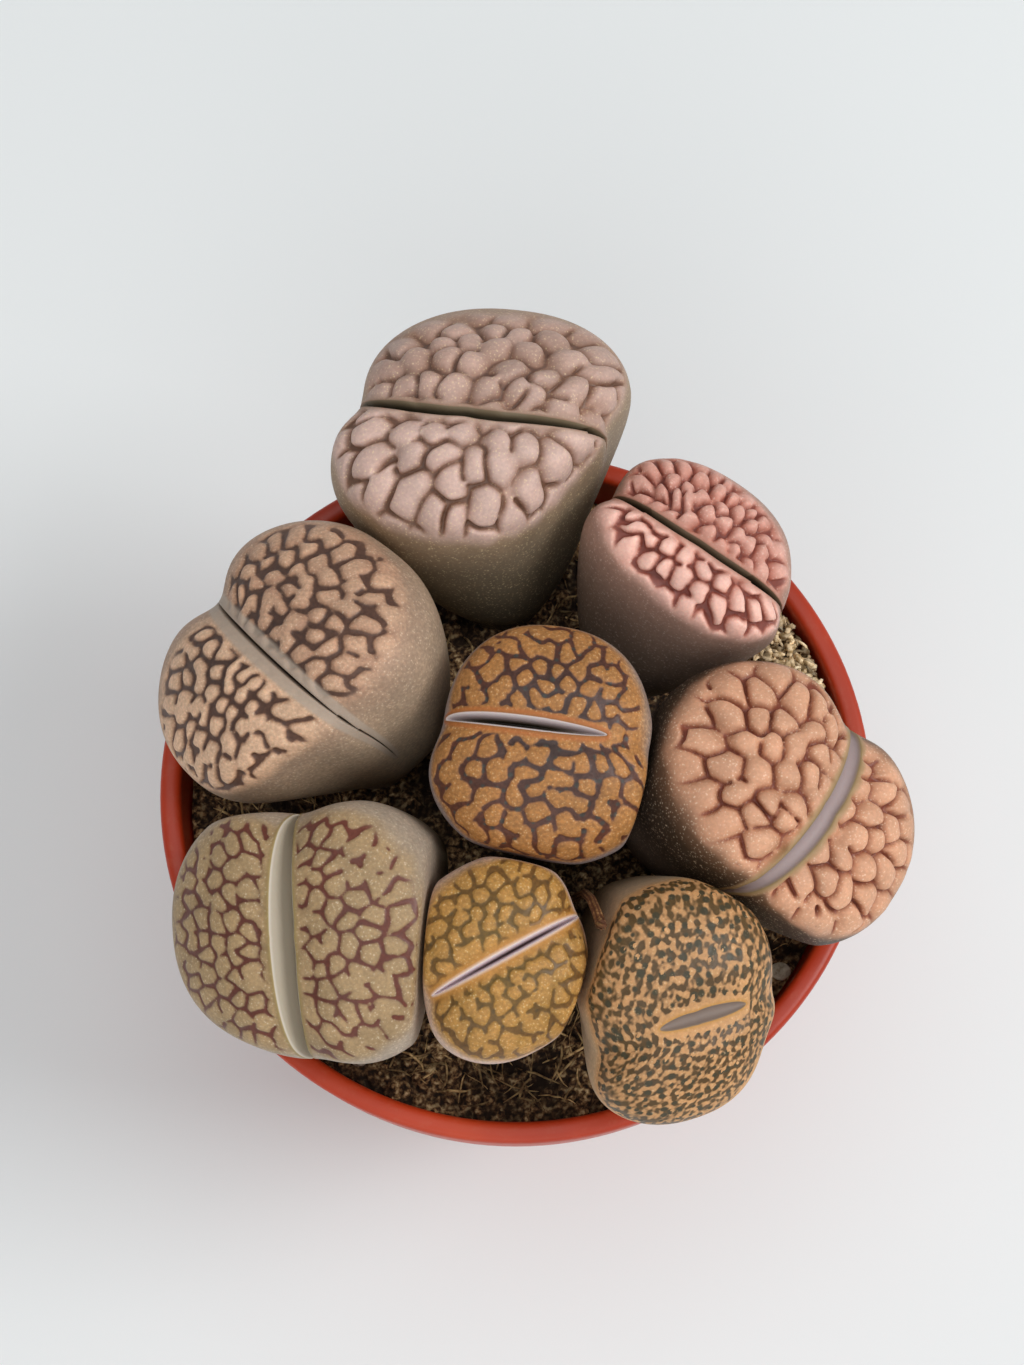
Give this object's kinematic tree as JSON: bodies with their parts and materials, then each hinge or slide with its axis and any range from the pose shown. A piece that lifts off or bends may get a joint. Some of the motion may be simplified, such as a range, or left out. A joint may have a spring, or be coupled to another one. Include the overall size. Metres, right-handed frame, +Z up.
{
  "type": "potted lithops",
  "caption": "Round tapered nursery pot of peaty soil crowded with stone-like succulents, each a pair of fused leaves split by a fissure and covered in raised islands.",
  "frame": {"origin": "centre of the underside of the pot's flat base", "axes": "+Z up along the pot's axis; -Y faces the viewer (the near rim in the picture); +X to the viewer's right"},
  "size_m": [0.0879, 0.0977, 0.0933],
  "materials": {
    "pot": "moulded plastic, satin",
    "soil": "rough fibrous peat mix, matt",
    "lithops_back": "firm succulent skin, fine speckle, soft sheen",
    "lithops_cobbled": "firm succulent skin, strongly cobbled, soft sheen",
    "lithops_tan": "firm succulent skin, branching channels, soft sheen",
    "lithops_centre": "firm succulent skin, flat islands, soft sheen",
    "lithops_salmon": "firm succulent skin, domed islands, soft sheen",
    "lithops_grey": "firm succulent skin, fine dark net, soft sheen",
    "lithops_gold": "firm succulent skin, fine net, soft sheen",
    "lithops_spotted": "firm smooth succulent skin, mottled, soft sheen",
    "flower_stalk": "dry, fluted, matt",
    "dry_moss_right": "bleached dry fibres, matt",
    "dry_moss_inner": "bleached dry fibres, matt",
    "dry_moss_back": "bleached dry fibres, matt",
    "grit_right": "pale stone grain, matt",
    "grit_front": "pale stone grain, matt"
  },
  "bodies": {
    "root": {"pot": "pot", "soil": "soil", "lithops_back": "lithops_back", "lithops_cobbled": "lithops_cobbled", "lithops_tan": "lithops_tan", "lithops_centre": "lithops_centre", "lithops_salmon": "lithops_salmon", "lithops_grey": "lithops_grey", "lithops_gold": "lithops_gold", "lithops_spotted": "lithops_spotted", "flower_stalk": "flower_stalk", "dry_moss_right": "dry_moss_right", "dry_moss_inner": "dry_moss_inner", "dry_moss_back": "dry_moss_back", "grit_right": "grit_right", "grit_front": "grit_front"}
  },
  "joints": []
}
